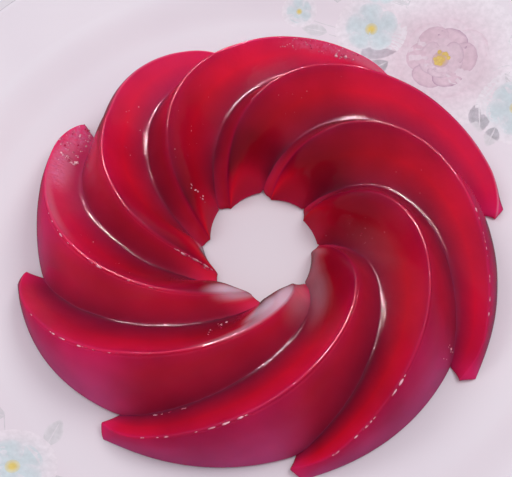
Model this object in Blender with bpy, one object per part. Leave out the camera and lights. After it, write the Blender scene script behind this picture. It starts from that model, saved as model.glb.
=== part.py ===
"""Moulded ring jelly turned out on its dinner plate.

The jelly is one solid: eight blades swirl clockwise, seen from above, from the rim of the
centre hole out to the plate. Each blade has a crest, a full outer wall and a hollow inner
face, and the crease between two blades runs out to a notch behind each blade's tip.
Metres, +Z up, origin at the centre of the plate's foot ring, on the table.
"""

from math import cos, degrees, hypot, pi, radians, sin

import bmesh
import bpy

# Plate
PLATE_RADIUS = 0.166
PLATE_HEIGHT = 0.023
PLATE_THICKNESS = 0.0045
WELL_RADIUS = 0.116
WELL_TOP = 0.0085
SHOULDER_RADIUS = 0.138
SHOULDER_RISE = 0.0060
FOOT_RADIUS = 0.090
FOOT_WIDTH = 0.005
PLATE_SEGMENTS = 72

# Jelly
BLADES = 8
FIRST_TIP_ANGLE = 1.8
TIP_RADIUS = 0.100
NOTCH_RADIUS = 0.0915
RIDGE_HEIGHT = 0.039
CREASE_HEIGHT = 0.023
HOLE_RIDGE_RADIUS = 0.0227
HOLE_CREASE_RADIUS = 0.0253
RIDGE_SWEEP = 119.0
CREASE_SWEEP = 129.0
NOTCH_LAG = 1.5
BASE_SWELL = 0.0015
TIP_HEIGHT = 0.0030
TIP_ROUNDING = 0.0022
TIP_ROUNDED_TURN = 0.25
CREST_WIDTH = 0.0030
RESTING_GAP = 0.0003
# The jelly has settled unevenly: each tip's reach against the mould's radius, and how much
# the blade behind it swells.
TIP_REACH = (1.0, 1.008, 0.98, 1.005, 1.028, 0.977, 1.0, 1.0)
TIP_SWELL = (0.0, -0.012, 0.0, 0.0, 0.0, 0.03, 0.0, 0.0)

# Fullness of a section: 0 is straight, 1 bulges to a square corner, -1 hollows to one.
WALL_FULLNESS = 0.45
FACE_FULLNESS = -0.15
HOLE_FULLNESS = 0.55

BLADE_ANGLE = 360.0 / BLADES
ROWS = 13
WALL_STEPS = 5
FACE_STEPS = 5


def material(name, colour, roughness, transmission=0.0):
    """A Principled material with one linear colour."""
    made = bpy.data.materials.new(name)
    made.use_nodes = True
    shader = made.node_tree.nodes["Principled BSDF"]
    shader.inputs["Base Color"].default_value = (*colour, 1.0)
    shader.inputs["Roughness"].default_value = roughness
    shader.inputs["Metallic"].default_value = 0.0
    shader.inputs["Transmission Weight"].default_value = transmission
    made.diffuse_color = (*colour, 1.0)
    return made


def add_object(name, mesh, finish, sharp_angle):
    """Put a mesh in the scene as a node of its own, shaded smooth up to its sharp edges."""
    mesh.materials.append(finish)
    mesh.shade_smooth()
    mesh.set_sharp_from_angle(angle=radians(sharp_angle))
    node = bpy.data.objects.new(name, mesh)
    bpy.context.scene.collection.objects.link(node)
    return node


def mix(start, end, share):
    """The value or point that lies a given share of the way from start to end."""
    if isinstance(start, tuple):
        return tuple(mix(a, b, share) for a, b in zip(start, end))
    return start + (end - start) * share


def ease(value):
    """Smooth step from 0 to 1."""
    value = min(max(value, 0.0), 1.0)
    return value * value * (3.0 - 2.0 * value)


# A blade is followed by its turn: 0 at the tip, 1 abreast of the notch behind it, 2 one
# blade further in, and 3 at the hole. Points are (angle from the tip, radius, height).

def unevenness(blade, turn):
    """A blade's own reach and swell as a factor on its radius, gone by the notch."""
    turn = min(turn, 1.0)
    return mix(TIP_REACH[blade], 1.0, turn) + TIP_SWELL[blade] * sin(pi * turn)


def inner_angle(turn, sweep, lag):
    """Angle of a ridge or crease: even turns out to 2, then stretched to end at its sweep."""
    if turn <= 2.0:
        return BLADE_ANGLE * turn + lag * max(2.0 - max(turn, 1.0), 0.0)
    return mix(2.0 * BLADE_ANGLE, sweep, turn - 2.0)


def near_tip(turn):
    """1 at the blunt end of a tip, dying away over its rounded stretch."""
    return max(1.0 - turn / TIP_ROUNDED_TURN, 0.0) ** 2


def ridge(blade, turn):
    angle = inner_angle(turn, RIDGE_SWEEP, 0.0)
    share = angle / RIDGE_SWEEP
    radius = mix(TIP_RADIUS, HOLE_RIDGE_RADIUS, share ** 1.35) * unevenness(blade, turn)
    arch = max(sin(pi * share ** 1.2), 0.0)
    height = RIDGE_HEIGHT * arch ** 0.75 + TIP_HEIGHT * max(1.0 - turn, 0.0) ** 2
    return angle, radius - TIP_ROUNDING * near_tip(turn), height


def crease(turn):
    angle = inner_angle(turn, CREASE_SWEEP, NOTCH_LAG)
    notch_angle = BLADE_ANGLE + NOTCH_LAG
    share = (angle - notch_angle) / (CREASE_SWEEP - notch_angle)
    radius = mix(NOTCH_RADIUS, HOLE_CREASE_RADIUS, share ** 1.1)
    return angle, radius, CREASE_HEIGHT * max(sin(pi * share), 0.0)


def base_line(blade, turn):
    """The outer foot of a blade, on the plate from its tip to the notch behind it."""
    radius = mix(TIP_RADIUS, NOTCH_RADIUS, turn) + BASE_SWELL * sin(pi * turn)
    rounded = degrees(TIP_ROUNDING / TIP_RADIUS) * near_tip(turn)
    return (BLADE_ANGLE + NOTCH_LAG) * turn + rounded, radius * unevenness(blade, turn), 0.0


def hole_line(turn):
    """The foot of a blade's face round the hole, from the next crease's end to its ridge's."""
    next_crease = (CREASE_SWEEP - BLADE_ANGLE, HOLE_CREASE_RADIUS, 0.0)
    return mix(next_crease, (RIDGE_SWEEP, HOLE_RIDGE_RADIUS, 0.0), turn - 2.0)


def outer_foot(blade, turn):
    return base_line(blade, turn) if turn <= 1.0 else crease(turn)


def inner_foot(turn):
    if turn > 2.0:
        return hole_line(turn)
    angle, radius, height = crease(turn + 1.0)
    return angle - BLADE_ANGLE, radius, height


def section(foot, crest, fullness, steps):
    """Points from a foot up to just under the crest, bulging or hollowing as they climb."""
    corner = (foot[1], crest[2]) if fullness > 0.0 else (crest[1], foot[2])
    middle = mix(foot[1:], crest[1:], 0.5)
    pull = mix(middle, corner, abs(fullness))
    length = hypot(crest[1] - foot[1], crest[2] - foot[2])
    last = 1.0 - min(0.5 * CREST_WIDTH / max(length, 1e-9), 1.0 / steps)
    points = []
    for step in range(steps):
        share = last * step / (steps - 1)
        below = mix(foot[1:], pull, share)
        above = mix(pull, crest[1:], share)
        points.append((mix(foot[0], crest[0], share), *mix(below, above, share)))
    return points


def blade_section(blade, turn):
    """One blade from its outer foot over its rounded crest to its inner foot."""
    crest = ridge(blade, turn)
    fullness = mix(FACE_FULLNESS, HOLE_FULLNESS, ease((turn - 1.0) / 1.5))
    wall = section(outer_foot(blade, turn), crest, WALL_FULLNESS, WALL_STEPS)
    face = section(inner_foot(turn), crest, fullness, FACE_STEPS)
    top = mix(crest, mix(wall[-1], face[-1], 0.5), 0.5)
    return wall + [top] + face[::-1]


def place(blade, point):
    """Turn a blade's own point to its place on the plate."""
    angle, radius, height = point
    bearing = radians(FIRST_TIP_ANGLE - BLADE_ANGLE * blade + angle)
    return radius * cos(bearing), radius * sin(bearing), WELL_TOP + RESTING_GAP + height


def jelly_mesh():
    """Skin every blade from its blunt end inwards, weld the blades and close the base."""
    shape = bmesh.new()
    for blade in range(BLADES):
        sections = [blade_section(blade, row / ROWS) for row in range(3 * ROWS + 1)]
        end = [(angle, radius, 0.0) for angle, radius, height in sections[0]]
        rows = [[shape.verts.new(place(blade, point)) for point in points]
                for points in [end] + sections]
        for outer, inner in zip(rows, rows[1:]):
            for corners in zip(outer, outer[1:], inner[1:], inner):
                shape.faces.new(corners)
    bmesh.ops.remove_doubles(shape, verts=shape.verts, dist=2e-6)
    bmesh.ops.dissolve_degenerate(shape, dist=1e-6, edges=shape.edges)
    rim = [edge for edge in shape.edges if edge.is_boundary]
    bmesh.ops.triangle_fill(shape, edges=rim, use_beauty=True)
    bmesh.ops.recalc_face_normals(shape, faces=shape.faces)
    mesh = bpy.data.meshes.new("jelly")
    shape.to_mesh(mesh)
    shape.free()
    return mesh


def plate_profile():
    """Half section of the plate as (radius, height), from the top's centre round to the foot."""
    half = 0.5 * PLATE_THICKNESS
    rim_middle = PLATE_HEIGHT - half
    shoulder_top = WELL_TOP + SHOULDER_RISE
    profile = [(0.0, WELL_TOP), (0.5 * WELL_RADIUS, WELL_TOP), (WELL_RADIUS, WELL_TOP)]
    for step in range(1, 6):
        share = step / 5
        profile.append((mix(WELL_RADIUS, SHOULDER_RADIUS, share),
                        WELL_TOP + SHOULDER_RISE * ease(share)))
    profile.append((mix(SHOULDER_RADIUS, PLATE_RADIUS, 0.5), mix(shoulder_top, PLATE_HEIGHT, 0.42)))
    for step in range(5):
        angle = pi * (0.5 - step / 4)
        profile.append((PLATE_RADIUS - half + half * cos(angle), rim_middle + half * sin(angle)))
    profile.append((SHOULDER_RADIUS + half, shoulder_top - PLATE_THICKNESS))
    profile.append((WELL_RADIUS, WELL_TOP - PLATE_THICKNESS))
    profile.append((FOOT_RADIUS + 0.5 * FOOT_WIDTH, WELL_TOP - PLATE_THICKNESS - 0.001))
    profile.append((FOOT_RADIUS + 0.3 * FOOT_WIDTH, 0.0))
    profile.append((FOOT_RADIUS - 0.3 * FOOT_WIDTH, 0.0))
    profile.append((FOOT_RADIUS - 0.5 * FOOT_WIDTH, WELL_TOP - PLATE_THICKNESS - 0.001))
    profile.append((0.0, WELL_TOP - PLATE_THICKNESS))
    return profile


def plate_mesh():
    """Turn the half section once round the plate's axis."""
    shape = bmesh.new()
    line = [shape.verts.new((radius, 0.0, height)) for radius, height in plate_profile()]
    edges = [shape.edges.new(pair) for pair in zip(line, line[1:])]
    bmesh.ops.spin(shape, geom=line + edges, cent=(0, 0, 0), axis=(0, 0, 1),
                   angle=2.0 * pi, steps=PLATE_SEGMENTS)
    bmesh.ops.remove_doubles(shape, verts=shape.verts, dist=1e-5)
    bmesh.ops.dissolve_degenerate(shape, dist=1e-6, edges=shape.edges)
    bmesh.ops.recalc_face_normals(shape, faces=shape.faces)
    mesh = bpy.data.meshes.new("plate")
    shape.to_mesh(mesh)
    shape.free()
    return mesh


def main():
    for old in list(bpy.data.objects):
        bpy.data.objects.remove(old, do_unlink=True)
    glaze = material("glazed porcelain", (0.72, 0.64, 0.68), 0.15)
    gelatine = material("red gelatine", (0.46, 0.006, 0.022), 0.08, 0.6)
    add_object("plate", plate_mesh(), glaze, 40)
    add_object("jelly", jelly_mesh(), gelatine, 50)


main()
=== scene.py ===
"""Dresses a moulded ring jelly and its dinner plate: gelatine, air bubbles, glaze and print.

Laid out as an add-on and run as a script. The jelly's skin repeats the solid's own curves
with finer steps; the plate is turned again from its half section, and its floral print lies
on the glaze as a thin transfer. Metres and radians, +Z up, on the frame's own axes.
"""

import random
from functools import partial
from math import cos, hypot, pi, radians, sin

import bmesh
import bpy
from bpy.props import FloatProperty, FloatVectorProperty, IntProperty, PointerProperty
from mathutils import Matrix, Vector, noise


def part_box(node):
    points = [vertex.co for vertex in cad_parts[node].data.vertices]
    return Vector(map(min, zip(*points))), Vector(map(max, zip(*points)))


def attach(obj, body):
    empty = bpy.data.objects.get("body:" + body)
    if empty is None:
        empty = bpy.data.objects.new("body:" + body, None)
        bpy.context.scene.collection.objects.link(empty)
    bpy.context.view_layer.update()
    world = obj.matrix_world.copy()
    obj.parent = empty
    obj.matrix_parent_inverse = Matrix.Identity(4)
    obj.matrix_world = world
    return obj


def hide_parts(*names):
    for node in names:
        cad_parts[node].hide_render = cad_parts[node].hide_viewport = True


bl_info = {
    "name": "Ring Jelly on a Dinner Plate",
    "version": (1, 0, 0),
    "blender": (4, 5, 0),
    "location": "View3D > Sidebar > Ring Jelly",
    "description": "Dresses a moulded ring jelly and the printed plate it stands on",
    "category": "Add Mesh",
}

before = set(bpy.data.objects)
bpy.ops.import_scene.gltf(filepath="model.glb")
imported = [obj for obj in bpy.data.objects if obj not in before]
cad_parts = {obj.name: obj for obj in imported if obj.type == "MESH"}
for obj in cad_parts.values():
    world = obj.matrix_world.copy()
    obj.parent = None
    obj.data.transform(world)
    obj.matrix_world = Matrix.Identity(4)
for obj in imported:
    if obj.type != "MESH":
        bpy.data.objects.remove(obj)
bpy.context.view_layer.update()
JELLY_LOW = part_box("jelly")[0]
PLATE_LOW, PLATE_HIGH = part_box("plate")

MM = 0.001
WHITE, BLACK = (1.0, 1.0, 1.0), (0.0, 0.0, 0.0)
BLADES = 8
BLADE_ANGLE = 2.0 * pi / BLADES
TURNS = 3
WELD = 0.001 * MM

# The jelly has settled unevenly. For each blade: the reach of its tip, how much it swells
# behind the tip, and the reach of its notch, all against the mould's own sizes.
TIP_REACH = (1.008, 1.018, 1.008, 1.022, 1.005, 1.020, 0.962, 0.990)
TIP_SWELL = (0.008, -0.012, -0.006, -0.010, 0.012, -0.012, 0.045, 0.018)
NOTCH_REACH = (1.0, 1.0, 1.0, 1.0, 1.0, 0.985, 0.970, 0.995)

# How pink and clouded each blade is towards its tip.
PINKNESS = (0.50, 0.25, 0.0, 0.10, 0.25, 0.85, 0.72, 0.62)

# Painted shade: how much darker each blade's face is painted than the palest.
PAINTED_FACE_SHADE = (0.0, 0.05, 0.20, 0.30, 0.50, 0.40, 0.05, 0.0)

# Painted shade: how dark each blade's face is painted where it turns down to the back of the
# hole.
BACK_SHADE = (0.42, 0.28, 0.0, 0.0, 0.0, 0.0, 0.0, 0.20)

# Painted light: how brightly each blade's inner wall is painted, as if lit through.
PAINTED_WALL_LIGHT = (0.9, 0.95, 0.95, 1.0, 1.25, 1.45, 1.35, 1.05)

# Fullness of a section: 0 is straight, 1 bulges to a square corner, -1 hollows to one.
WALL_FULLNESS = 0.45
INNER_WALL_FULLNESS = 0.1
FACE_FULLNESS = -0.15
HOLE_FULLNESS = 0.65


# ---- small helpers

def linear(code):
    """The linear colour of an sRGB hex value."""
    channels = [int(code[place:place + 2], 16) / 255.0 for place in (0, 2, 4)]
    return tuple(value / 12.92 if value <= 0.04045 else ((value + 0.055) / 1.055) ** 2.4
                 for value in channels)


def a_length(name, description, default):
    """A property that holds a length."""
    return FloatProperty(name=name, description=description, default=default, unit="LENGTH")


def an_angle(name, description, degrees):
    """A property that holds an angle, given in degrees."""
    return FloatProperty(name=name, description=description, default=radians(degrees),
                         subtype="ANGLE")


def a_colour(name, description, code):
    """A property that holds a colour, given as an sRGB hex value."""
    return FloatVectorProperty(name=name, description=description, default=linear(code),
                               subtype="COLOR")


def mix(start, end, share):
    """The value or point that lies a given share of the way from start to end."""
    if isinstance(start, tuple):
        return tuple(mix(a, b, share) for a, b in zip(start, end))
    return start + (end - start) * share


def ease(value):
    """Smooth step from 0 to 1."""
    value = min(max(value, 0.0), 1.0)
    return value * value * (3.0 - 2.0 * value)


def spaced(count):
    """Shares from 0 to 1, close together at both ends."""
    return [0.5 - 0.5 * cos(pi * step / count) for step in range(count + 1)]


def add_node(tree, kind, settings=None, links=None):
    """Add a shader node, set its properties and sockets, and feed its inputs. A link comes
    from a socket, or from the first output that another node has in use."""
    node = tree.nodes.new("ShaderNode" + kind)
    for name, value in (settings or {}).items():
        if name == "stops":
            ramp = node.color_ramp.elements
            while len(ramp) < len(value):
                ramp.new(0.5)
            for element, (position, colour) in zip(ramp, value):
                element.position = position
                element.color = (*colour, 1.0)
        elif isinstance(name, str) and hasattr(node, name):
            setattr(node, name, value)
        else:
            node.inputs[name].default_value = value
    for name, source in (links or {}).items():
        if isinstance(source, bpy.types.Node):
            source = next(output for output in source.outputs if output.enabled)
        tree.links.new(source, node.inputs[name])
    return node


def adder(owner):
    """Empty the node tree of a material, a lamp or the world; gives what adds to it."""
    owner.use_nodes = True
    owner.node_tree.nodes.clear()
    return partial(add_node, owner.node_tree)


def new_material(name):
    """An empty node material, what adds its nodes, and the place on the piece in metres."""
    made = bpy.data.materials.new(name)
    add = adder(made)
    return made, add, add("TexCoord").outputs["Object"]


def tones(settings, *names):
    """Some of a group's colours, as plain tuples."""
    return [tuple(getattr(settings, name + "_colour")) for name in names]


def add_object(name, shape, finish):
    """Turn a bmesh into a named object that has a finish."""
    mesh = bpy.data.meshes.new(name)
    shape.to_mesh(mesh)
    shape.free()
    mesh.materials.append(finish)
    made = bpy.data.objects.new(name, mesh)
    bpy.context.scene.collection.objects.link(made)
    return made


def add_piece(name, shape, finish):
    """Turn a bmesh into a smooth, named piece that rides on the part."""
    piece = add_object(name, shape, finish)
    piece.data.shade_smooth()
    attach(piece, "root")
    return piece


# ---- sizes and colours

class RingJelly(bpy.types.PropertyGroup):
    """Sizes and colours of the turned-out jelly."""
    tip_radius: a_length("Tip radius", "From the middle of the ring to a blade's tip", 0.100)
    notch_radius: a_length("Notch radius",
        "From the middle to the notch behind each tip", 0.0915)
    ridge_height: a_length("Ridge height", "Height of the blades' crests over the plate", 0.039)
    crease_height: a_length("Crease height",
        "Greatest height of the creases between blades", 0.023)
    hole_ridge_radius: a_length("Hole radius at a ridge",
        "Where a ridge ends at the hole", 0.0227)
    hole_crease_radius: a_length("Hole radius at a crease",
        "Where a crease ends at the hole", 0.0253)
    ridge_sweep: an_angle("Ridge sweep", "Angle that a ridge winds through, tip to hole", 119.0)
    crease_sweep: an_angle("Crease sweep", "Angle from a tip to the end of its crease", 129.0)
    notch_lag: an_angle("Notch lag", "How far each notch lies behind the next ridge", 1.5)
    first_tip: an_angle("First tip", "Bearing of the first blade's tip from +X", 1.8)
    tip_height: a_length("Tip height", "Height of a blade's blunt end", 0.0030)
    tip_rounding: a_length("Tip rounding", "How much a tip's corner is rounded back", 0.0045)
    crest_width: a_length("Crest width", "Width of the rounding along a crest", 0.0026)
    crease_fill: a_length("Crease fill", "How far the rounding of a crease fills it", 0.0006)
    ripple: a_length("Ripple", "Unevenness of the set surface", 0.00016)
    crest_colour: a_colour("Crest", "Thin jelly along the crests", "BC164C")
    body_colour: a_colour("Body", "Jelly of middling thickness, lit through", "DE1230")
    # Darkest down in the creases: partly the thickest jelly, partly painted shade.
    deep_shade_colour: a_colour("Deep", "The thickest jelly, down in the creases", "861C3C")
    # The outer walls carry a painted reflection of the pale plate, paling to mauve towards the
    # foot.
    wall_colour: a_colour("Wall", "The outer walls half way down", "B82C5E")
    foot_colour: a_colour("Foot", "The outer walls where they meet the plate", "BE4C82")
    inner_colour: a_colour("Inner wall", "The walls between two blades", "AA1832")
    tip_colour: a_colour("Tip", "The thin, bubbly tips", "F02A72")
    hole_colour: a_colour("Hole", "The lit rim round the hole", "C01636")
    foam_colour: a_colour("Foam", "Patches clouded by fine bubbles", "DE709C")
    # Painted sheen: the plate's pale reflection and wet highlights, painted on some smooth
    # patches.
    painted_sheen_colour: a_colour("Haze", "Colour of the haze over some smooth patches", "DABACC")
    bubble_colour: a_colour("Bubbles", "Air bubbles under the skin", "F0B4C4")


class DinnerPlate(bpy.types.PropertyGroup):
    """Sizes and colours of the plate and its print."""
    radius: a_length("Radius", "From the middle to the rim's edge", PLATE_HIGH.x)
    height: a_length("Height", "From the table to the top of the rim", PLATE_HIGH.z)
    thickness: a_length("Thickness", "Thickness of the porcelain", 0.0045)
    well_radius: a_length("Well radius", "Radius of the flat well", 0.116)
    well_top: a_length("Well height", "Height of the well over the table", 0.0085)
    shoulder_radius: a_length("Shoulder radius", "Where the shoulder meets the rim", 0.138)
    shoulder_rise: a_length("Shoulder rise", "How far the rim starts over the well", 0.0060)
    foot_radius: a_length("Foot radius", "Radius of the foot ring under the plate", 0.090)
    foot_width: a_length("Foot width", "Width of the foot ring", 0.005)
    glaze_colour: a_colour("Glaze", "The glazed porcelain", "E6DFE6")
    rose_colour: a_colour("Rose pink", "The rose's petals", "D8BECB")
    outline_colour: a_colour("Outline", "Shaded edges of the rose's petals", "AC8CA4")
    blossom_colour: a_colour("Blossom blue", "The small flowers", "C9D7DC")
    pollen_colour: a_colour("Pollen yellow", "The flowers' centres", "E0CB74")
    leaf_colour: a_colour("Leaf", "Leaves and stems", "D0CED3")


class StudioStage(bpy.types.PropertyGroup):
    """The floor, the lights and the camera."""
    floor_colour: a_colour("Floor", "The plain floor under the plate", "DED8DE")
    view_angle: an_angle("View angle", "How far the camera looks down", 60.256)
    roll: an_angle("Roll", "Tilt of the camera about its view", -5.025)
    distance: a_length("Distance", "From the camera to the middle of the view", 0.53873)
    aim: FloatVectorProperty(
        name="Aim", description="The middle of the view",
        subtype="XYZ", unit="LENGTH", default=(-0.00205, 0.00412, 0.0088))
    lens: FloatProperty(name="Lens", description="Focal length in millimetres", default=92.25)
    key_power: FloatProperty(
        name="Key light", description="Watts of the soft light at the back right",
        default=3.6)
    fill_power: FloatProperty(
        name="Fill light", description="Watts of the soft light at the back left",
        default=2.1)


# ---- the jelly's curves

# A blade is followed by its turn: 0 at the tip, 1 abreast of the notch behind it, 2 one
# blade further in, and 3 at the hole. Points are (angle from the tip, radius, height).

def unevenness(blade, turn):
    """A blade's own reach and swell as a factor on its radius, gone soon after the notch."""
    notch = mix(NOTCH_REACH[blade], 1.0, ease(turn - 1.0))
    turn = min(turn, 1.0)
    return mix(TIP_REACH[blade], notch, turn) + TIP_SWELL[blade] * sin(pi * turn)


def hole_draw(bearing):
    """The hole as a factor on its radius: the jelly leans in on the right and the left."""
    return 1.0 - (0.11 if cos(bearing) > 0.0 else 0.06) * cos(bearing) ** 2


def inner_angle(turn, sweep, lag):
    """Angle of a ridge or crease: even turns out to 2, then stretched to end at its sweep."""
    if turn <= 2.0:
        return BLADE_ANGLE * turn + lag * max(2.0 - max(turn, 1.0), 0.0)
    return mix(2.0 * BLADE_ANGLE, sweep, turn - 2.0)


def near_tip(turn):
    """1 at the blunt end of a tip, dying away over its rounded quarter turn."""
    return max(1.0 - 4.0 * turn, 0.0) ** 2


def ridge(ring, blade, turn):
    """The crest of a blade."""
    angle = inner_angle(turn, ring.ridge_sweep, 0.0)
    share = angle / ring.ridge_sweep
    radius = mix(ring.tip_radius, ring.hole_ridge_radius, share ** 1.35)
    arch = max(sin(pi * share ** 1.2), 0.0)
    height = ring.ridge_height * arch ** 0.75 + ring.tip_height * max(1.0 - turn, 0.0) ** 2
    return angle, radius * unevenness(blade, turn) - ring.tip_rounding * near_tip(turn), height


def crease(ring, blade, turn):
    """The crease on a blade's outer side, from the notch in to the hole."""
    angle = inner_angle(turn, ring.crease_sweep, ring.notch_lag)
    notch_angle = BLADE_ANGLE + ring.notch_lag
    share = (angle - notch_angle) / (ring.crease_sweep - notch_angle)
    radius = mix(ring.notch_radius, ring.hole_crease_radius, share ** 1.1)
    radius *= mix(NOTCH_REACH[blade], 1.0, ease(2.0 * share))
    return angle, radius, ring.crease_height * max(sin(pi * share), 0.0)


def base_line(ring, blade, turn):
    """The outer foot of a blade, on the plate from its tip to the notch behind it."""
    radius = mix(ring.tip_radius, ring.notch_radius, turn) + 1.5 * MM * sin(pi * turn)
    rounded = ring.tip_rounding / ring.tip_radius * near_tip(turn)
    angle = (BLADE_ANGLE + ring.notch_lag) * turn + rounded
    return angle, radius * unevenness(blade, turn), 0.0


def outer_foot(ring, blade, turn):
    """Where a blade's wall ends, on the plate or in the crease."""
    return base_line(ring, blade, turn) if turn <= 1.0 else crease(ring, blade, turn)


def inner_foot(ring, blade, turn):
    """Where a blade's face ends, in the next crease or round the hole."""
    if turn > 2.0:
        next_crease = (ring.crease_sweep - BLADE_ANGLE, ring.hole_crease_radius, 0.0)
        return mix(next_crease, (ring.ridge_sweep, ring.hole_ridge_radius, 0.0), turn - 2.0)
    angle, radius, height = crease(ring, (blade + 1) % BLADES, turn + 1.0)
    return angle - BLADE_ANGLE, radius, height


def climb(foot, crest, fullness, share):
    """The point a share of the way up from a foot to the crest, bulging or hollowing."""
    corner = (foot[1], crest[2]) if fullness > 0.0 else (crest[1], foot[2])
    pull = mix(mix(foot[1:], crest[1:], 0.5), corner, abs(fullness))
    below = mix(foot[1:], pull, share)
    above = mix(pull, crest[1:], share)
    return (mix(foot[0], crest[0], share), *mix(below, above, share))


def flanks(ring, blade, turn):
    """(foot, fullness) of a blade's wall and of its face."""
    face_fullness = mix(FACE_FULLNESS, HOLE_FULLNESS, ease((turn - 1.3) / 1.2))
    wall_fullness = mix(WALL_FULLNESS, INNER_WALL_FULLNESS, ease((turn - 0.7) / 0.7))
    return ((outer_foot(ring, blade, turn), wall_fullness),
            (inner_foot(ring, blade, turn), face_fullness))


def filled(ring, point, foot, length, fall):
    """Raise a point near a crease, so that the crease runs round instead of sharp."""
    reach = 2.1 * MM
    near = max(1.0 - (1.0 - fall) * length / reach, 0.0) ** 2
    lift = ring.crease_fill * near * ease(foot[2] / (9.0 * MM))
    return point[0], point[1], point[2] + lift


def blade_section(ring, blade, turn, steps, crest_steps):
    """[(point, fall, wall)] across a blade: fall is 0 on the crest and 1 at a foot, and
    wall is 1 on the outer wall and 0 on the inner face."""
    crest = ridge(ring, blade, turn)
    sides = []
    for wall, (foot, fullness) in zip((1.0, 0.0), flanks(ring, blade, turn)):
        length = hypot(crest[1] - foot[1], crest[2] - foot[2])
        last = 1.0 - min(0.5 * ring.crest_width / max(length, 1e-9), 1.0 / steps)
        side = []
        for share in spaced(steps):
            fall = 1.0 - last * share
            point = climb(foot, crest, fullness, 1.0 - fall)
            side.append((filled(ring, point, foot, length, fall), fall, wall))
        sides.append(side)
    wall_side, face_side = sides
    start, end = wall_side[-1][0], face_side[-1][0]
    rounding = []
    for step in range(1, crest_steps):
        share = step / crest_steps
        point = mix(mix(start, crest, share), mix(crest, end, share), share)
        rounding.append((point, 0.0, 1.0 - share))
    return wall_side + rounding + face_side[::-1]


def place(ring, blade, point):
    """Turn a blade's own point to its place on the plate."""
    angle, radius, height = point
    bearing = ring.first_tip - BLADE_ANGLE * blade + angle
    near_hole = ease((50.0 * MM - radius) / (25.0 * MM))
    radius *= mix(1.0, hole_draw(bearing), near_hole)
    return Vector((radius * cos(bearing), radius * sin(bearing), JELLY_LOW.z + height))


# ---- the jelly

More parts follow.
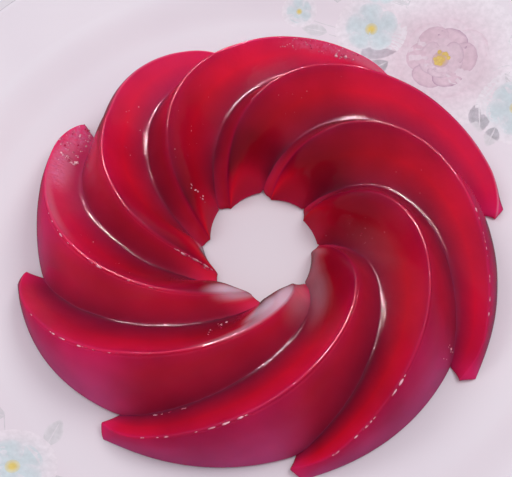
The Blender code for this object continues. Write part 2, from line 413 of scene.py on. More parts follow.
class JELLY_OT_turn_out(bpy.types.Operator):
    """Skin the ring of blades and give it its gelatine"""
    bl_idname = "jelly.turn_out"
    bl_label = "Turn out the jelly"

    rows: IntProperty(name="Rows", description="Rows of faces in each turn", default=28)
    steps: IntProperty(name="Steps", description="Faces up each side", default=14)
    crest_steps: IntProperty(name="Crest steps", description="Faces over a crest", default=6)

    # What each point of the skin carries for its colour: how far down a side it lies, which
    # side, how much painted light or shade it takes, how pink it is, its foam and painted
    # sheen, and whether it is on the outer skirt or on the rim of the hole.
    VALUES = ("fall", "wall", "clear", "tip", "foam", "haze", "skirt", "hole")

    # Patches of a blade's wall or face, as
    # (blade, turn, wall?, fall, spread of turn, spread of fall, strength):
    # those clouded by fine bubbles, and those given a painted sheen: the plate's pale
    # reflection and wet highlights.
    FOAM = (
        (5, 0.05, False, 0.40, 0.16, 0.60, 0.9), (5, 0.38, False, 0.30, 0.24, 0.30, 0.8),
        (7, 0.46, False, 0.15, 0.26, 0.20, 0.5),
    )
    HAZE = (
        (4, 1.75, False, 0.04, 0.35, 0.14, 0.40), (4, 2.35, False, 0.15, 0.45, 0.32, 0.95),
        (4, 1.95, False, 0.36, 0.20, 0.24, 0.80), (4, 2.65, True, 0.30, 0.45, 0.80, 0.22),
        (5, 2.60, False, 0.15, 0.35, 0.32, 0.95), (5, 2.75, True, 0.05, 0.35, 0.35, 0.75),
        (3, 2.75, False, 0.62, 0.45, 0.40, 0.30), (3, 2.00, False, 0.80, 0.55, 0.30, 0.30),
        (6, 2.30, False, 0.90, 0.30, 0.14, 0.90), (5, 0.35, False, 0.45, 0.25, 0.35, 0.20),
        (2, 1.60, False, 0.66, 0.30, 0.30, 0.05), (5, 0.72, False, 0.08, 0.40, 0.14, 0.16),
        (7, 0.10, False, 0.10, 0.30, 0.30, 0.30), (0, 0.20, True, 0.05, 0.30, 0.20, 0.40),
        (6, 0.35, True, 0.10, 0.60, 0.60, 0.30),
    )

    def execute(self, context):
        ring = context.scene.ring_jelly
        shape = self.skin(ring)
        self.ripple(ring, shape)
        skin = add_piece("jelly_skin", shape, self.gelatine(ring))
        smooth = skin.modifiers.new("finer skin", "SUBSURF")
        smooth.levels = smooth.render_levels = 1
        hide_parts("jelly")
        return {"FINISHED"}

    def skin(self, ring):
        """Every blade from its blunt end inwards, welded together and closed at the base."""
        shape = bmesh.new()
        layers = [shape.verts.layers.float.new(name) for name in self.VALUES]
        for blade in range(BLADES):
            sections = [(row / self.rows, blade_section(ring, blade, row / self.rows,
                                                        self.steps, self.crest_steps))
                        for row in range(TURNS * self.rows + 1)]
            blunt_end = [((*point[:2], 0.0), 1.0, wall) for point, fall, wall in sections[0][1]]
            lines = []
            for turn, section in [(0.0, blunt_end)] + sections:
                line = []
                for point, fall, wall in section:
                    vert = shape.verts.new(place(ring, blade, point))
                    values = self.values(ring, blade, turn, point[1], fall, wall)
                    for layer, value in zip(layers, values):
                        vert[layer] = value
                    line.append(vert)
                lines.append(line)
            for outer, inner in zip(lines, lines[1:]):
                for corners in zip(outer, outer[1:], inner[1:], inner):
                    shape.faces.new(corners)
        bmesh.ops.remove_doubles(shape, verts=shape.verts, dist=2.0 * WELD)
        bmesh.ops.dissolve_degenerate(shape, dist=WELD, edges=shape.edges)
        base_rim = [edge for edge in shape.edges if edge.is_boundary]
        bmesh.ops.triangle_fill(shape, edges=base_rim, use_beauty=True)
        bmesh.ops.recalc_face_normals(shape, faces=shape.faces)
        return shape

    def values(self, ring, blade, turn, radius, fall, wall):
        """What VALUES names, at a place on the skin."""
        tip = PINKNESS[blade] * max(1.0 - turn / 1.5, 0.0) ** 1.5
        tip += 0.7 * max(1.0 - turn / 0.12, 0.0) * (1.0 - 0.5 * fall)
        foam, haze = (self.cloud(patches, blade, turn, fall, wall)
                      for patches in (self.FOAM, self.HAZE))
        skirt = ease((1.2 - turn) / 0.35)
        hole = (1.0 - wall) * ease((turn - 1.8) / 0.6) * ease((fall - 0.35) / 0.6)
        clear = self.painted_light_and_shade(ring, blade, radius, fall, wall)
        return fall, wall, clear, tip, foam, haze, skirt, hole

    def painted_light_and_shade(self, ring, blade, radius, fall, wall):
        """How light a place is painted, standing in for light and shade: painted shade where
        the blades lie deep behind each other towards the hole and down the faces of some
        blades, a painted lit band round the hole, and painted light in the inner walls."""
        reach = radius / ring.tip_radius
        inward = ease((reach - 0.36) / 0.36)
        # A painted lit band on the faces round the hole.
        rim = 0.45 * ease((0.34 - reach) / 0.10)
        face = mix(mix(0.46, 1.25, fall * fall), 1.0, inward) + rim
        # Painted shade on some blades' faces, darker down the face.
        face *= 1.0 - PAINTED_FACE_SHADE[blade] * ease(1.3 * fall + 0.15)
        # Painted shade where a face turns down to the back of the hole.
        bend = ease((reach - 0.27) / 0.04) * ease((0.47 - reach) / 0.10)
        face *= 1.0 - BACK_SHADE[blade] * bend
        near_hole = ease((0.42 - reach) / 0.14)
        # The inner walls take painted light, more near the hole and most at their foot.
        between = mix(0.85, 1.0, inward) + near_hole * mix(0.4, 1.6, fall)
        between *= PAINTED_WALL_LIGHT[blade]
        return mix(face, between, wall)

    def cloud(self, patches, blade, turn, fall, wall):
        """How strongly a list of patches covers a place on either side of a blade: for the foam
        that clouds the jelly and for the painted sheen.
        """
        cloud = 0.0
        for (at_blade, at_turn, on_wall, at_fall, turn_spread, fall_spread,
             strength) in patches:
            if blade == at_blade:
                away = hypot((turn - at_turn) / turn_spread, (fall - at_fall) / fall_spread)
                cloud += strength * ease(1.3 - away) * (wall if on_wall else 1.0 - wall)
        return min(cloud, 1.0)

    def ripple(self, ring, shape):
        """The skin took up the mould's own waves and a few slacker ones as it settled."""
        slack, fine, calm = 14.0 * MM, 5.0 * MM, 4.0 * MM
        for vert in shape.verts:
            height = vert.co.z - JELLY_LOW.z
            if height >= 0.2 * MM:
                wave = noise.noise(vert.co / slack) + 0.45 * noise.noise(vert.co / fine)
                vert.co += vert.normal * ring.ripple * wave * ease(height / calm)

    def gelatine(self, ring):
        """Red fruit gelatine, set in a smooth mould and still wet: clear at thin edges and
        nearly black where it is thick, under a bright wet film. Its colour also holds painted
        shade in the creases and towards the hole, painted light in the inner walls and round
        the hole, and a painted reflection of the plate on the outer walls and some patches."""
        made, add, place_on = new_material("set gelatine, wet")
        fall, wall, clear, tip, foam, haze, skirt, hole = [
            add("Attribute", {"attribute_name": name}).outputs["Fac"] for name in self.VALUES]
        crest, body, deep_shade, side, foot, inner, lit, end = tones(
            ring, "crest", "body", "deep_shade", "wall", "foot", "inner", "hole", "tip")
        # A face, and below it a wall between two blades, darkens into its crease: partly the
        # thicker jelly, partly painted shade.
        face = add("ValToRGB", {"stops": ((0.0, crest), (0.15, mix(crest, body, 0.6)),
            (0.45, body), (0.8, mix(body, deep_shade, 0.65)), (1.0, deep_shade))}, {"Fac": fall})
        # The outer walls: a painted reflection of the pale plate over the jelly's red,
        # strongest at the foot.
        outer = add("ValToRGB", {"stops": ((0.0, crest), (0.4, side), (1.0, foot))},
            {"Fac": fall})
        between = add("ValToRGB", {"stops": ((0.0, mix(crest, inner, 0.5)), (0.3, inner),
            (1.0, mix(inner, deep_shade, 0.8)))}, {"Fac": fall})
        walled = add("Mix", {"data_type": "RGBA"}, {0: skirt, 6: between, 7: outer})
        flank = add("Mix", {"data_type": "RGBA"}, {0: wall, 6: face, 7: walled})
        # Uneven setting, in clouds about 25 mm across.
        cloud = add("TexNoise", {"Scale": 1.0 / (25.0 * MM), "Detail": 2.0, "Roughness": 0.5},
            {"Vector": place_on})
        cloudy = add("MapRange", {"From Min": 0.3, "From Max": 0.7, "To Min": 0.82,
            "To Max": 1.15}, {"Value": cloud})
        # The painted light and shade, times the uneven setting.
        shade_and_setting = add("Math", {"operation": "MULTIPLY"}, {0: clear, 1: cloudy})
        shaded_and_clouded = add("VectorMath", {"operation": "SCALE"}, {0: flank, "Scale": shade_and_setting})
        round_hole = add("ValToRGB", {"stops": ((0.7, lit), (0.93, mix(lit, end, 0.15)),
            (1.0, mix(lit, end, 0.6)))}, {"Fac": fall})
        rimmed = add("Mix", {"data_type": "RGBA"}, {0: hole, 6: shaded_and_clouded, 7: round_hole})
        tipped = add("Mix", {"data_type": "RGBA", 7: (*end, 1.0)}, {0: tip, 6: rimmed})
        # A painted sheen over some smooth patches: the plate's pale reflection and wet
        # highlights.
        with_painted_sheen = add("Mix", {"data_type": "RGBA", 7: (*ring.painted_sheen_colour, 1.0)},
            {0: haze, 6: tipped})
        # Foam is broken into flecks about 1.5 mm across.
        flecks = add("TexNoise", {"Scale": 1.0 / (1.5 * MM), "Detail": 2.0, "Roughness": 0.65},
            {"Vector": place_on})
        flecked = add("MapRange", {"From Min": 0.35, "From Max": 0.65, "To Min": 0.25,
            "To Max": 1.0}, {"Value": flecks})
        clouding = add("Math", {"operation": "MULTIPLY"}, {0: foam, 1: flecked})
        coloured = add("Mix", {"data_type": "RGBA", 7: (*ring.foam_colour, 1.0)},
            {0: clouding, 6: with_painted_sheen})
        # Waves of about 6 mm break up the lights along the crests.
        waves = add("TexNoise", {"Scale": 1.0 / (6.0 * MM), "Detail": 3.0, "Roughness": 0.55},
            {"Vector": place_on})
        bump = add("Bump", {"Strength": 0.45, "Distance": 0.5 * MM}, {"Height": waves})
        # The mould's own edge leaves a fine groove under each crest, on the wall's side.
        groove = add("ValToRGB", {"stops": ((0.025, WHITE), (0.055, BLACK), (0.09, WHITE))},
            {"Fac": fall})
        edged = add("Bump", {"Distance": 0.3 * MM}, {"Height": groove, "Strength": wall,
            "Normal": bump})
        # The foam's skin is crumpled, by about 3.5 mm from fold to fold.
        folds = add("TexNoise", {"Scale": 1.0 / (3.5 * MM), "Detail": 2.0},
            {"Vector": place_on})
        crumple = add("Bump", {"Distance": 1.2 * MM},
            {"Height": folds, "Strength": foam, "Normal": edged})
        shader = add("BsdfPrincipled", {"Roughness": 0.12, "IOR": 1.36,
            "Specular IOR Level": 0.2, "Transmission Weight": 0.1, "Subsurface Weight": 0.8,
            "Subsurface Scale": 4.0 * MM, "Subsurface Radius": (1.0, 0.12, 0.2),
            "Coat Weight": 0.3, "Coat Roughness": 0.06, "Coat IOR": 1.4},
            {"Base Color": coloured, "Normal": crumple})
        add("OutputMaterial", links={"Surface": shader})
        return made


# ---- the plate

def plate_top(plate, radius):
    """Height of the plate's upper face at a radius."""
    if radius <= plate.shoulder_radius:
        share = (radius - plate.well_radius) / (plate.shoulder_radius - plate.well_radius)
        return plate.well_top + plate.shoulder_rise * ease(share)
    start = plate.well_top + plate.shoulder_rise
    share = (radius - plate.shoulder_radius) / (plate.radius - plate.shoulder_radius)
    bow = 4.0 * share * (1.0 - share) * 0.08 * (plate.height - start)
    return mix(start, plate.height, min(share, 1.0)) - bow


def plate_profile(plate):
    """Half section as (radius, height), from the top's centre over the rim to the foot."""
    half = 0.5 * plate.thickness
    profile = [(0.0, plate.well_top)]
    edge = plate.radius - half
    steps = 150
    for step in range(1, steps + 1):
        radius = edge * step / steps
        profile.append((radius, min(plate_top(plate, radius), plate.height)))
    lift = profile[-1][1]
    for step in range(1, 9):
        angle = pi * (0.5 - step / 8)
        profile.append((edge + half * cos(angle),
                        lift - half + half * sin(angle)))
    underside = plate.well_top - plate.thickness
    shoulder = (plate.shoulder_radius + half, underside + plate.shoulder_rise)
    for start, end, steps in (((edge, lift - plate.thickness), shoulder, 8),
                              (shoulder, (plate.well_radius, underside), 6)):
        for step in range(1, steps + 1):
            share = step / steps
            profile.append((mix(start[0], end[0], share), mix(start[1], end[1], ease(share))))
    # The foot ring, by its width outwards from its middle, and then the flat underside.
    for out, height in ((0.5, underside - MM), (0.36, 0.8 * MM), (0.2, 0.0), (-0.2, 0.0),
                        (-0.36, 0.8 * MM), (-0.5, underside - MM), (-1.2, underside)):
        profile.append((plate.foot_radius + out * plate.foot_width, height))
    return profile + [(0.0, underside)]


class JELLY_OT_turn_plate(bpy.types.Operator):
    """Turn the plate from its half section and glaze it"""
    bl_idname = "jelly.turn_plate"
    bl_label = "Turn and glaze the plate"

    segments: IntProperty(name="Segments", description="Steps round the plate", default=160)

    def execute(self, context):
        plate = context.scene.dinner_plate
        shape = bmesh.new()
        line = [shape.verts.new((radius, 0.0, height))
                for radius, height in plate_profile(plate)]
        edges = [shape.edges.new(pair) for pair in zip(line, line[1:])]
        bmesh.ops.spin(shape, geom=line + edges, cent=(0, 0, 0), axis=(0, 0, 1),
                       angle=2.0 * pi, steps=self.segments)
        bmesh.ops.remove_doubles(shape, verts=shape.verts, dist=10.0 * WELD)
        bmesh.ops.recalc_face_normals(shape, faces=shape.faces)
        turned = add_piece("dinner_plate", shape, self.glaze(plate))
        turned.visible_glossy = False
        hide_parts("plate")
        return {"FINISHED"}

    def glaze(self, plate):
        """Porcelain, pressed and glazed white: a hard even gloss over a faintly grey body,
        with the slight orange peel of a dipped glaze."""
        made, add, place_on = new_material("glazed porcelain")
        tone, = tones(plate, "glaze")
        drift = add("TexNoise", {"Scale": 1.0 / (60.0 * MM), "Detail": 2.0},
            {"Vector": place_on})
        colour = add("ValToRGB", {"stops": ((0.3, mix(tone, linear("D9CFDA"), 0.35)),
            (0.7, tone))}, {"Fac": drift})
        peel = add("TexNoise", {"Scale": 1.0 / (4.0 * MM), "Detail": 0.0}, {"Vector": place_on})
        bump = add("Bump", {"Strength": 0.06, "Distance": 0.1 * MM}, {"Height": peel})
        shader = add("BsdfPrincipled", {"Roughness": 0.16, "IOR": 1.5, "Coat Weight": 0.3,
            "Coat Roughness": 0.08}, {"Base Color": colour, "Normal": bump})
        add("OutputMaterial", links={"Surface": shader})
        return made


def polar(radius, bearing):
    """(x, y) in metres of a radius in mm and a bearing in degrees."""
    return radius * MM * cos(radians(bearing)), radius * MM * sin(radians(bearing))


class JELLY_OT_print_flowers(bpy.types.Operator):
    """Lay two sprays of roses, small flowers and leaves on the glaze"""
    bl_idname = "jelly.print_flowers"
    bl_label = "Print the flowers"

    seed: IntProperty(name="Seed", description="Start of the brush's random draws", default=11)

    # A common spray pattern: (motif, its places), each place being (radius in mm, bearing,
    # size in mm, heading), with angles in degrees.
    LAYOUT = (
        ("leaf", (
            (108.5, 54.5, 11.0, 205.0), (117.0, 32.0, 13.0, 262.0), (136.5, 56.5, 15.0, 118.0),
            (133.0, 33.0, 13.0, 318.0), (144.0, 37.0, 14.0, 12.0), (114.0, 70.5, 10.0, 160.0),
            (128.5, 70.0, 10.0, 80.0), (147.5, 49.5, 13.0, 66.0), (115.0, 25.0, 9.0, 240.0),
            (142.0, 27.0, 12.0, 348.0),
        )),
        ("blossom", (
            (121.0, 61.5, 12.0, 10.0), (127.0, 26.0, 13.0, 40.0), (140.0, 62.5, 8.0, 0.0),
            (122.5, 77.5, 6.0, 25.0),
        )),
        ("rose", ((121.5, 45.0, 45.0, 15.0),)),
        ("leaf", (
            (122.5, 212.0, 13.0, 165.0), (118.0, 221.5, 10.0, 60.0),
            (125.0, 226.5, 11.0, 305.0), (140.0, 213.0, 12.0, 190.0),
            (145.0, 226.0, 12.0, 250.0), (130.0, 234.0, 10.0, 290.0),
        )),
        ("blossom", (
            (132.5, 221.0, 12.0, 30.0), (142.0, 205.0, 9.0, 55.0), (138.5, 238.0, 8.0, 12.0),
        )),
    )
    # (radius in mm, bearing) of each stem's start, bend and end.
    STEMS = (
        ((121.5, 58.0), (116.0, 66.0), (119.5, 75.0)),
        ((119.0, 62.0), (112.0, 64.0), (113.0, 70.0)),
        ((124.0, 36.0), (116.0, 34.0), (117.5, 27.0)),
        ((130.0, 55.0), (139.0, 57.0), (140.0, 61.0)),
        ((130.0, 35.0), (142.0, 34.0), (143.5, 28.0)),
        ((131.0, 218.0), (125.0, 214.0), (122.0, 211.0)),
        ((133.0, 224.0), (125.0, 229.0), (129.0, 233.0)),
        ((135.0, 219.0), (140.0, 212.0), (142.0, 206.0)),
        ((135.0, 226.0), (142.0, 232.0), (139.0, 236.5)),
    )

    def execute(self, context):
        self.plate, self.shape = context.scene.dinner_plate, bmesh.new()
        self.pigment = self.shape.verts.layers.float_color.new("pigment")
        self.brush = random.Random(self.seed)
        for stem in self.STEMS:
            self.stem([polar(*place) for place in stem])
        for motif, places in self.LAYOUT:
            for radius, bearing, size, heading in places:
                getattr(self, motif)(polar(radius, bearing), size * MM, radians(heading))
        printed = add_piece("flower_print", self.shape, self.enamel())
        printed.visible_shadow = printed.visible_glossy = False
        return {"FINISHED"}

    def speck(self, x, y, lift, tone):
        """A coloured point of the print, lifted a little off the glaze."""
        vert = self.shape.verts.new((x, y, plate_top(self.plate, hypot(x, y)) + lift))
        vert[self.pigment] = (*tone, 1.0)
        return vert

    def join(self, one, two):
        """Fill the strip between two rows of points."""
        for corners in zip(one, two, two[1:], one[1:]):
            self.shape.faces.new(corners)

    def petal(self, base, heading, length, width, shades, lift, roundness, belly, fade):
        """One brushed petal or leaf, shaded from its throat through its blade to its edge."""
        throat, blade, edge = shades
        across_places = (-1.0, -0.88, -0.55, 0.0, 0.55, 0.88, 1.0)
        along_places = (0.0, 0.1, 0.25, 0.42, 0.6, 0.75, 0.87, 0.95, 1.0)
        wobble = [self.brush.uniform(-0.05, 0.05) for _ in across_places]
        rows = []
        for along in along_places:
            half = 0.5 * width * max(sin(pi * along ** belly), 0.0) ** roundness
            row = []
            for across, shift in zip(across_places, wobble):
                ahead = length * along * (1.0 + 5.0 * shift * along * (1.0 - along) ** 2)
                aside = half * across
                rim = max(abs(across) * ease(along * 2.5), ease((along - 0.7) / 0.3))
                tone = mix(mix(throat, blade, ease(along * 1.8)), edge, rim ** fade)
                row.append(self.speck(base[0] + ahead * cos(heading) - aside * sin(heading),
                                      base[1] + ahead * sin(heading) + aside * cos(heading),
                                      lift, tone))
            rows.append(row)
        for low, high in zip(rows, rows[1:]):
            self.join(low, high)
        bmesh.ops.remove_doubles(self.shape, verts=rows[0] + rows[-1], dist=WELD)

    def dot(self, centre, radius, tone, edge, lift):
        """A round dab of colour, running out into another at its edge."""
        count = max(3, round(radius / (2.5 * MM)))
        steps = 8 * count if count > 3 else 16
        middle = self.speck(*centre, lift, tone)
        rings = []
        for step in range(1, count + 1):
            reach = step / count
            shade = mix(tone, edge, ease((reach - 0.3) / 0.7))
            ring = []
            for turn in range(steps):
                angle = 2.0 * pi * turn / steps
                ring.append(self.speck(centre[0] + reach * radius * cos(angle),
                                       centre[1] + reach * radius * sin(angle), lift, shade))
            rings.append(ring + ring[:1])
        for one, two in zip(rings[0], rings[0][1:]):
            self.shape.faces.new((middle, one, two))
        for inner, outer in zip(rings, rings[1:]):
            self.join(inner, outer)

    def rose(self, centre, width, heading):
        """A full rose, in rings of petals round its stamens."""
        pale, outline, glaze, yellow = tones(self.plate, "rose", "outline", "glaze", "pollen")
        self.dot(centre, 0.78 * width, mix(pale, glaze, 0.2), glaze, 0.05 * MM)
        # Each ring's petals: how many, their length and breadth against the rose's width,
        # their blade and edge, and their lift off the glaze in mm.
        rings = ((7, 0.44, 0.40, mix(pale, glaze, 0.45), mix(pale, glaze, 0.1), 0.07),
                 (6, 0.34, 0.32, pale, outline, 0.10),
                 (6, 0.22, 0.24, mix(pale, glaze, 0.15), mix(pale, outline, 0.7), 0.13),
                 (5, 0.14, 0.16, mix(pale, glaze, 0.2), mix(pale, outline, 0.5), 0.16))
        for ring, (count, reach, breadth, blade, edge, lift) in enumerate(rings):
            for turn in range(count):
                angle = heading + 2.0 * pi * (turn + 0.5 * ring) / count
                angle += self.brush.uniform(-0.12, 0.12)
                rim = mix(blade, edge, self.brush.uniform(0.1, 1.0))
                self.petal(centre, angle, width * reach * self.brush.uniform(0.90, 1.08),
                           width * breadth, (mix(blade, outline, 0.12), blade, rim),
                           (lift + 0.003 * turn) * MM, 0.5, 1.5, 9.0)
        gold = mix(yellow, linear("D2A866"), 0.6)
        self.dot(centre, 0.085 * width, gold, mix(pale, outline, 0.3), 0.20 * MM)
        for grain in range(18):
            angle = self.brush.uniform(0.0, 2.0 * pi)
            away = width * self.brush.uniform(0.01, 0.08)
            spot = (centre[0] + away * cos(angle), centre[1] + away * sin(angle))
            self.dot(spot, self.brush.uniform(0.6, 1.0) * MM,
                     mix(yellow, gold, self.brush.uniform(0.0, 0.6)), gold,
                     (0.21 + 0.002 * grain) * MM)

    def blossom(self, centre, size, heading):
        """A small five-petalled flower; size is its radius."""
        blue, glaze, yellow = tones(self.plate, "blossom", "glaze", "pollen")
        self.dot(centre, 1.35 * size, mix(blue, glaze, 0.4), glaze, 0.05 * MM)
        for turn in range(5):
            angle = heading + 2.0 * pi * turn / 5 + self.brush.uniform(-0.1, 0.1)
            self.petal(centre, angle, size, 0.95 * size, (blue, blue, mix(blue, glaze, 0.6)),
                       (0.06 + 0.004 * turn) * MM, 0.45, 1.35, 2.2)
        self.dot(centre, 0.24 * size, yellow, mix(yellow, blue, 0.7), 0.10 * MM)

    def leaf(self, base, size, heading):
        """A pointed leaf with a paler midrib; it is drawn a fifth longer than its size."""
        green, glaze = tones(self.plate, "leaf", "glaze")
        pale = mix(green, glaze, 0.55)
        size *= 1.2
        self.petal(base, heading, size, 0.62 * size,
                   (mix(green, pale, 0.3), green, mix(green, pale, 1.3)), 0.05 * MM,
                   0.8, 0.95, 3.0)
        self.petal(base, heading, 0.85 * size, 0.04 * size, (pale, pale, pale), 0.07 * MM,
                   0.5, 1.0, 5.0)

    def stem(self, bend):
        """A fine stroke through three points."""
        tone = mix(*tones(self.plate, "leaf", "glaze"), 0.3)
        start, middle, end = bend
        half_width = 0.22 * MM
        pairs = []
        for step in range(15):
            share = step / 14
            below, above = mix(start, middle, share), mix(middle, end, share)
            x, y = mix(below, above, share)
            away = Vector((above[0] - below[0], above[1] - below[1])).normalized()
            pairs.append([self.speck(x - away.y * side, y + away.x * side, 0.045 * MM, tone)
                          for side in (-half_width, half_width)])
        for one, two in zip(pairs, pairs[1:]):
            self.join(one, two)

    def enamel(self):
        """Screen-printed ceramic transfer, fired on the glaze: soft watercolour tones under
        the same gloss as the plate, with the slight grain of its dots."""
        made, add, place_on = new_material("fired transfer enamel")
        pigment = add("Attribute", {"attribute_name": "pigment"})
        grain = add("TexNoise", {"Scale": 1.0 / (2.2 * MM), "Detail": 2.0},
            {"Vector": place_on})
        washed = add("MapRange", {"From Min": 0.3, "From Max": 0.7, "To Min": 0.93,
            "To Max": 1.05}, {"Value": grain})
        colour = add("VectorMath", {"operation": "SCALE"}, {0: pigment, "Scale": washed})
        shader = add("BsdfPrincipled", {"Roughness": 0.18, "IOR": 1.5}, {"Base Color": colour})
        add("OutputMaterial", links={"Surface": shader})
        return made


# ---- the air bubbles

class JELLY_OT_blow_bubbles(bpy.types.Operator):
    """Trap air bubbles under the jelly's skin"""
    bl_idname = "jelly.blow_bubbles"
    bl_label = "Blow the bubbles"

    seed: IntProperty(name="Seed", description="Start of the random draws", default=5)

    # (blade, turn, wall?, fall, spread of turn, spread of fall, count, largest radius in mm,
    # how long they are along the blade against their width)
    CLUSTERS = (
        (5, 0.12, False, 0.40, 0.12, 0.40, 46, 0.55, 1.8),
        (5, 0.30, False, 0.70, 0.025, 0.14, 26, 0.75, 1.0),
        (5, 0.30, False, 0.42, 0.025, 0.20, 26, 0.60, 1.0),
        (5, 0.40, False, 0.30, 0.10, 0.15, 9, 0.35, 1.0),
        (7, 0.50, False, 0.20, 0.22, 0.16, 60, 0.42, 1.0),
        (7, 0.36, False, 0.33, 0.03, 0.06, 12, 0.85, 1.2),
        (7, 2.31, False, 0.48, 0.07, 0.20, 12, 0.55, 1.0),
        (2, 1.02, True, 0.82, 0.06, 0.14, 9, 0.42, 1.5),
        (3, 0.30, False, 0.94, 0.10, 0.03, 20, 0.42, 2.6),
        (4, 1.50, False, 0.66, 0.06, 0.20, 12, 0.45, 1.4),
        (1, 0.55, True, 0.02, 0.35, 0.02, 16, 0.35, 3.4),
        (3, 0.55, True, 0.02, 0.30, 0.02, 16, 0.46, 3.4),
        (4, 0.75, True, 0.02, 0.45, 0.02, 14, 0.35, 3.4),
        (2, 0.45, True, 0.02, 0.25, 0.02, 14, 0.46, 3.4),
        (5, 0.95, True, 0.02, 0.20, 0.02, 6, 0.41, 3.4),
        (5, 1.60, True, 0.02, 0.25, 0.02, 7, 0.41, 3.4),
        (2, 1.75, False, 0.60, 0.25, 0.25, 26, 0.22, 1.0),
        (7, 1.70, False, 0.35, 0.40, 0.30, 16, 0.22, 1.0),
        (0, 1.45, False, 0.33, 0.30, 0.25, 10, 0.25, 1.0),
        (5, 1.30, False, 0.30, 0.30, 0.25, 8, 0.28, 1.0),
        (6, 0.95, False, 0.58, 0.30, 0.25, 10, 0.28, 1.0),
        (1, 1.05, False, 0.60, 0.30, 0.25, 8, 0.26, 1.0),
        (6, 2.72, True, 0.04, 0.24, 0.04, 22, 0.55, 4.0),
        (6, 2.85, True, 0.15, 0.10, 0.15, 6, 0.40, 2.0),
    )

    def execute(self, context):
        ring = context.scene.ring_jelly
        shape = bmesh.new()
        draw = random.Random(self.seed)
        for (blade, turn, wall, fall, turn_spread, fall_spread, count, largest,
             stretch) in self.CLUSTERS:
            for _ in range(count):
                at_turn = turn + turn_spread * draw.uniform(-1.0, 1.0)
                at_fall = fall + fall_spread * draw.uniform(-1.0, 1.0)
                radius = largest * MM * (0.35 + 0.65 * draw.random() ** 2)
                self.bubble(ring, shape, blade, max(at_turn, 0.01), wall,
                            min(max(at_fall, 0.0), 0.97), radius, stretch)
        add_piece("air_bubbles", shape, self.trapped_air(ring))
        return {"FINISHED"}

    def spot(self, ring, blade, turn, wall, fall):
        """A place on the skin, kept off the crest's rounding; a side is about 30 mm long."""
        foot, fullness = flanks(ring, blade, turn)[0 if wall else 1]
        share = min(1.0 - fall, 1.0 - 0.4 * ring.crest_width / (30.0 * MM))
        return place(ring, blade, climb(foot, ridge(ring, blade, turn), fullness, share))

    def bubble(self, ring, shape, blade, turn, wall, fall, radius, stretch):
        """A bubble half sunk in the skin, drawn out along the blade."""
        centre = self.spot(ring, blade, turn, wall, fall)
        along = (self.spot(ring, blade, turn + 0.02, wall, fall) - centre).normalized()
        made = bmesh.ops.create_icosphere(shape, subdivisions=2, radius=radius)["verts"]
        for vert in made:
            vert.co += along * (stretch - 1.0) * vert.co.dot(along)
            vert.co += centre - Vector((0.0, 0.0, 0.35 * radius))

    def trapped_air(self, ring):
        """Air caught in the setting jelly: each bubble mirrors the room and pales the red."""
        made, add, place_on = new_material("air bubbles in gelatine")
        drift = add("TexNoise", {"Scale": 1.0 / (3.0 * MM), "Detail": 1.0},
            {"Vector": place_on})
        red, pale = tones(ring, "crest", "bubble")
        colour = add("ValToRGB", {"stops": ((0.4, red), (0.62, pale))}, {"Fac": drift})
        shader = add("BsdfPrincipled", {"Roughness": 0.08, "IOR": 1.36, "Coat Weight": 1.0,
            "Coat Roughness": 0.02}, {"Base Color": colour})
        add("OutputMaterial", links={"Surface": shader})
        return made


# ---- the stage

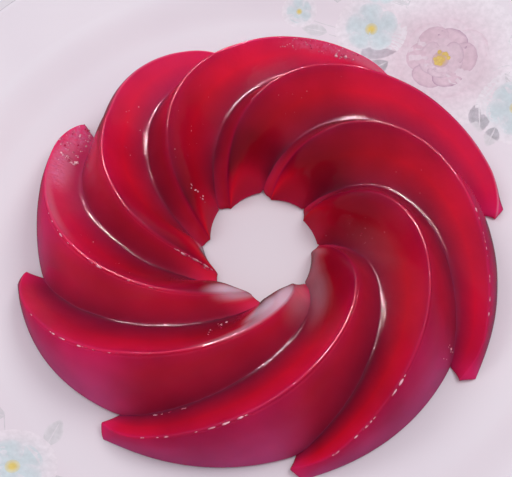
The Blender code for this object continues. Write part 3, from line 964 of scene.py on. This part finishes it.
class JELLY_OT_set_stage(bpy.types.Operator):
    """Lay the floor, hang the lights and point the camera"""
    bl_idname = "jelly.set_stage"
    bl_label = "Set the stage"

    def execute(self, context):
        stage = context.scene.studio_stage
        self.floor(stage)
        self.lights(context, stage)
        self.camera(context, stage)
        context.scene.view_settings.view_transform = "Standard"
        return {"FINISHED"}

    def floor(self, stage):
        """A plain painted board."""
        made, add, place_on = new_material("painted board")
        mottle = add("TexNoise", {"Scale": 1.0 / (50.0 * MM), "Detail": 3.0},
            {"Vector": place_on})
        tone, = tones(stage, "floor")
        colour = add("ValToRGB", {"stops": ((0.3, mix(tone, BLACK, 0.03)), (0.7, tone))},
            {"Fac": mottle})
        shader = add("BsdfPrincipled", {"Roughness": 0.7}, {"Base Color": colour})
        add("OutputMaterial", links={"Surface": shader})
        shape = bmesh.new()
        bmesh.ops.create_grid(shape, x_segments=1, y_segments=1, size=2.0)
        board = add_object("floor", shape, made)
        board.visible_glossy = False
        board.location.z = PLATE_LOW.z - 0.05 * MM

    def lights(self, context, stage):
        """Two soft lights behind the ring and a pale room, and two strips that show only as
        thin lines in the wet surface, where a crest or crease lies level."""
        room = bpy.data.worlds.new("pale room")
        context.scene.world = room
        add = adder(room)
        # The room lights everything, but is dim where a wet surface mirrors it.
        path = add("LightPath")
        way = add("TexCoord").outputs["Generated"]
        height = add("SeparateXYZ", links={"Vector": way})
        mirrored = add("MapRange", {"From Min": -0.1, "From Max": 0.1, "To Min": 0.07,
            "To Max": 0.25}, {"Value": height.outputs["Z"]})
        strength = add("MapRange", {"To Min": 0.70},
            {"Value": path.outputs["Is Glossy Ray"], "To Max": mirrored})
        violet_white = (0.98, 0.95, 1.0, 1.0)
        sky = add("Background", {"Color": violet_white}, {"Strength": strength})
        add("OutputWorld", links={"Surface": sky})
        # Name, place, (width, length), the way the length runs, watts, and whether the
        # lamp lights everything softly or only glints in the wet pieces.
        lamps = (
            ("key light", (0.55, 0.15, 0.95), (0.40, 0.40), (0.0, 1.0, 0.0),
             stage.key_power, True),
            ("fill light", (-0.45, 0.35, 0.95), (0.40, 0.40), (0.0, 1.0, 0.0),
             stage.fill_power, True),
            ("long strip", (0.0, 0.50, 0.87), (0.08, 1.5), (0.0, 0.87, -0.50), 270.0, False),
            ("cross strip", (0.0, 0.50, 0.87), (0.07, 1.5), (1.0, 0.0, 0.0), 230.0, False),
        )
        wet = bpy.data.collections.new("wet pieces")
        for name in ("jelly_skin", "air_bubbles"):
            wet.objects.link(bpy.data.objects[name])

        for name, position, size, length_way, power, soft in lamps:
            lamp = bpy.data.lights.new(name, "AREA")
            lamp.shape = "RECTANGLE"
            lamp.size, lamp.size_y = size
            lamp.energy = power
            holder = bpy.data.objects.new(name, lamp)
            back = Vector(position).normalized()
            across = Vector(length_way).cross(back).normalized()
            pose = Matrix((across, back.cross(across), back)).transposed().to_4x4()
            pose.translation = position
            holder.matrix_world = pose
            holder.visible_diffuse = soft
            holder.visible_glossy = not soft
            if not soft:
                holder.light_linking.receiver_collection = wet
                self.first_hand(lamp)
            context.scene.collection.objects.link(holder)

    def first_hand(self, lamp):
        """Shine only in what mirrors the lamp directly, not in mirrors of mirrors."""
        add = adder(lamp)
        path = add("LightPath")
        direct = add("Math", {"operation": "LESS_THAN", 1: 1.5}, {0: path.outputs["Ray Depth"]})
        rosy = (1.0, 0.64, 0.74, 1.0)
        glow = add("Emission", {"Color": rosy}, {"Strength": direct})
        add("OutputLight", links={"Surface": glow})

    def camera(self, context, stage):
        """Looking down along +Y, a little rolled."""
        lens = bpy.data.cameras.new("camera")
        lens.sensor_fit = "HORIZONTAL"
        lens.sensor_width = 36.0
        lens.lens = stage.lens
        camera = bpy.data.objects.new("camera", lens)
        forward = Vector((0.0, cos(stage.view_angle), -sin(stage.view_angle)))
        right = Vector((1.0, 0.0, 0.0))
        above = right.cross(forward)
        rolled_right = cos(stage.roll) * right + sin(stage.roll) * above
        rolled_up = -sin(stage.roll) * right + cos(stage.roll) * above
        pose = Matrix((rolled_right, rolled_up, -forward)).transposed().to_4x4()
        pose.translation = Vector(stage.aim) - forward * stage.distance
        camera.matrix_world = pose
        context.scene.collection.objects.link(camera)
        context.scene.camera = camera


# ---- the add-on

class JELLY_PT_ring(bpy.types.Panel):
    """Lists the sizes, colours and steps of the ring jelly"""
    bl_label = "Ring Jelly"
    bl_idname = "JELLY_PT_ring"
    bl_space_type = "VIEW_3D"
    bl_region_type = "UI"
    bl_category = "Ring Jelly"

    def draw(self, context):
        scene = context.scene
        for title, settings, steps in (
                ("Jelly", scene.ring_jelly, (JELLY_OT_turn_out, JELLY_OT_blow_bubbles)),
                ("Plate", scene.dinner_plate, (JELLY_OT_turn_plate, JELLY_OT_print_flowers)),
                ("Stage", scene.studio_stage, (JELLY_OT_set_stage,))):
            box = self.layout.box()
            box.label(text=title)
            for name in settings.__annotations__:
                box.prop(settings, name)
            for step in steps:
                box.operator(step.bl_idname)


GROUPS = {"ring_jelly": RingJelly, "dinner_plate": DinnerPlate, "studio_stage": StudioStage}
CLASSES = (RingJelly, DinnerPlate, StudioStage, JELLY_OT_turn_plate, JELLY_OT_print_flowers,
           JELLY_OT_turn_out, JELLY_OT_blow_bubbles, JELLY_OT_set_stage, JELLY_PT_ring)


def register():
    for made in CLASSES:
        bpy.utils.register_class(made)
    for name, group in GROUPS.items():
        setattr(bpy.types.Scene, name, PointerProperty(type=group))


def unregister():
    for name in GROUPS:
        delattr(bpy.types.Scene, name)
    for made in reversed(CLASSES):
        bpy.utils.unregister_class(made)


def main():
    register()
    bpy.ops.jelly.turn_plate()
    bpy.ops.jelly.print_flowers()
    bpy.ops.jelly.turn_out()
    bpy.ops.jelly.blow_bubbles()
    bpy.ops.jelly.set_stage()


if __name__ == "__main__":
    main()
